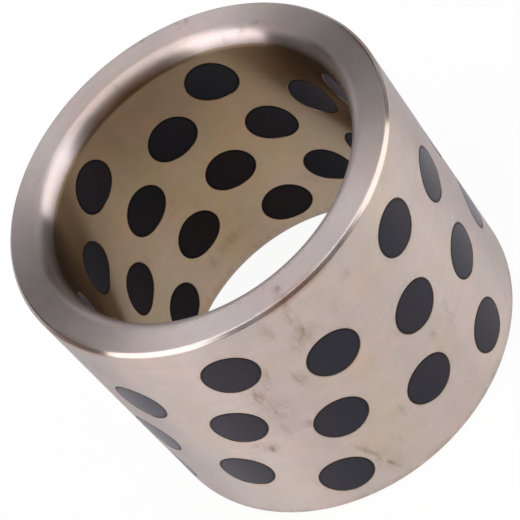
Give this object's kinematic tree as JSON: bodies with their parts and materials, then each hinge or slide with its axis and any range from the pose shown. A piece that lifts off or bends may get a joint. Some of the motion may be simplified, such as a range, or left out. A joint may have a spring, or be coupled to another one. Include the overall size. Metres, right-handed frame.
{
  "type": "graphite plugged bushing",
  "caption": "Plain cylindrical bronze sleeve bearing with rounded bore mouths and round solid-lubricant plugs set flush through its wall in staggered rows.",
  "frame": {"origin": "on the bore's axis, in the plane of the lower end face that the sleeve stands on", "axes": "+Z along the bore, from the lower end face to the upper one; +X through the middle of the first plug of the lowest row"},
  "size_m": [0.038, 0.038, 0.03],
  "materials": {
    "bronze": "satin",
    "graphite": "satin"
  },
  "bodies": {
    "root": {"bushing_sleeve": "bronze", "graphite_plug_1_1": "graphite", "graphite_plug_1_2": "graphite", "graphite_plug_1_3": "graphite", "graphite_plug_1_4": "graphite", "graphite_plug_1_5": "graphite", "graphite_plug_1_6": "graphite", "graphite_plug_2_1": "graphite", "graphite_plug_2_2": "graphite", "graphite_plug_2_3": "graphite", "graphite_plug_2_4": "graphite", "graphite_plug_2_5": "graphite", "graphite_plug_2_6": "graphite", "graphite_plug_3_1": "graphite", "graphite_plug_3_2": "graphite", "graphite_plug_3_3": "graphite", "graphite_plug_3_4": "graphite", "graphite_plug_3_5": "graphite", "graphite_plug_3_6": "graphite", "graphite_plug_4_1": "graphite", "graphite_plug_4_2": "graphite", "graphite_plug_4_3": "graphite", "graphite_plug_4_4": "graphite", "graphite_plug_4_5": "graphite", "graphite_plug_4_6": "graphite", "graphite_plug_5_1": "graphite", "graphite_plug_5_2": "graphite", "graphite_plug_5_3": "graphite", "graphite_plug_5_4": "graphite", "graphite_plug_5_5": "graphite", "graphite_plug_5_6": "graphite", "graphite_plug_6_1": "graphite", "graphite_plug_6_2": "graphite", "graphite_plug_6_3": "graphite", "graphite_plug_6_4": "graphite", "graphite_plug_6_5": "graphite", "graphite_plug_6_6": "graphite"}
  },
  "joints": []
}
